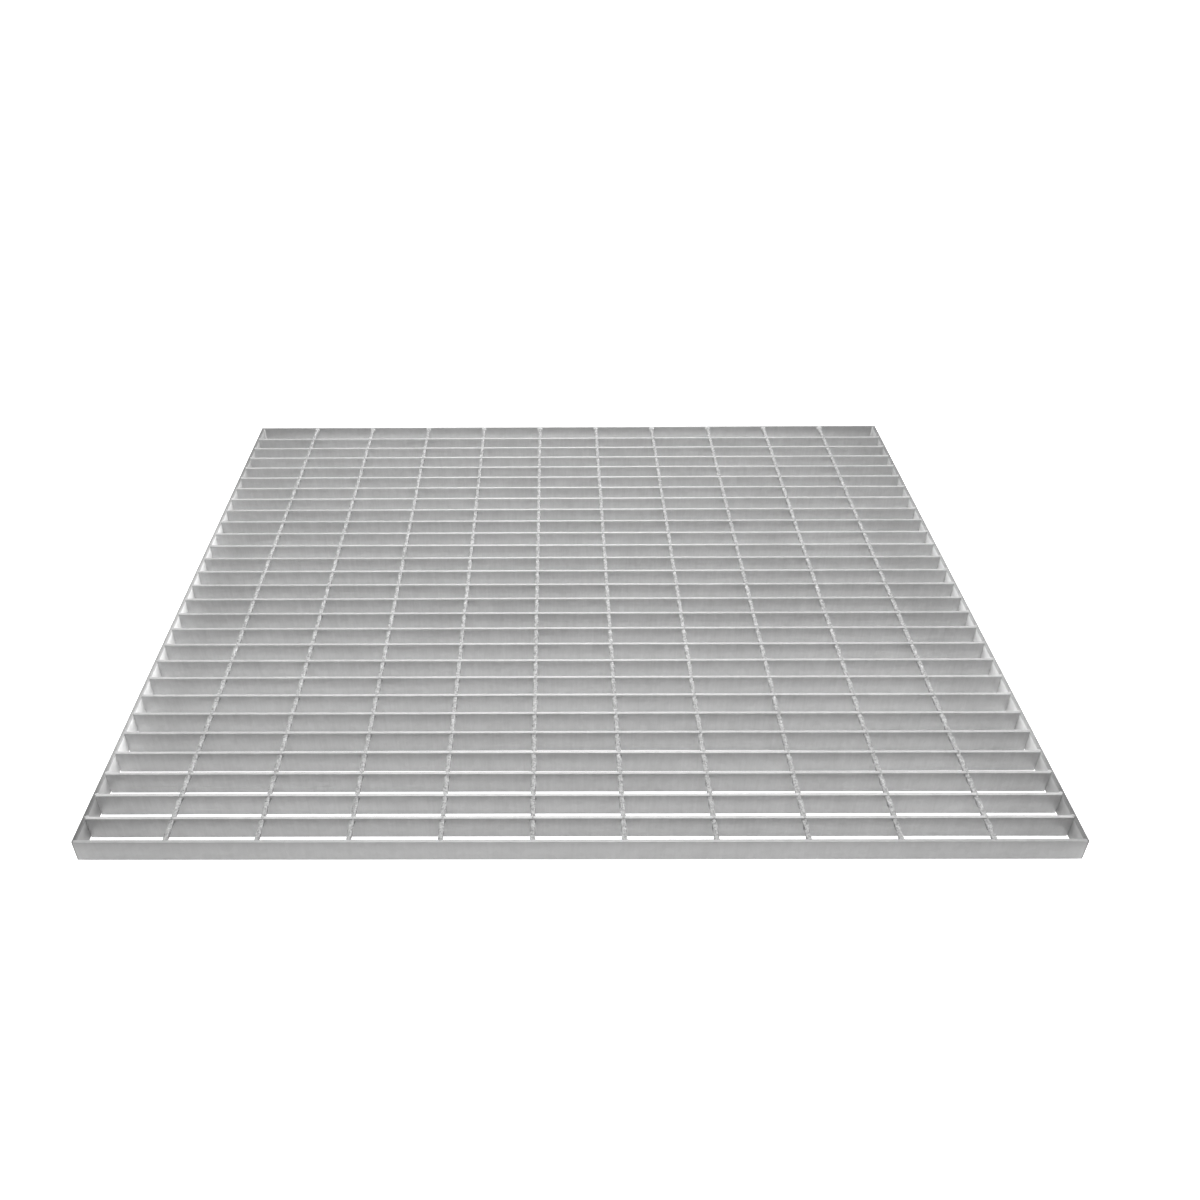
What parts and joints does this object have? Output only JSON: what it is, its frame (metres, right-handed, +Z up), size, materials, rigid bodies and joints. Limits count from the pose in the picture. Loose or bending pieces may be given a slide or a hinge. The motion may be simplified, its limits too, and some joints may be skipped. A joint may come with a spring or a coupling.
{
  "type": "steel grating panel",
  "caption": "Flat welded steel floor grating: flat bearing bars with twisted square cross rods forged into their tops, closed by a flat steel band on all four edges.",
  "frame": {"origin": "middle of the panel's underside, on the plane that it rests on", "axes": "+X along the bearing bars, +Y along the cross rods towards the back edge flat, +Z up through the panel"},
  "size_m": [1.1, 0.972, 0.03],
  "materials": {
    "galvanised_mat": "satin",
    "galvanised_band": "satin"
  },
  "bodies": {
    "root": {"grating_mat": "galvanised_mat", "edge_flat_front": "galvanised_band", "edge_flat_back": "galvanised_band", "edge_flat_left": "galvanised_band", "edge_flat_right": "galvanised_band"}
  },
  "joints": []
}
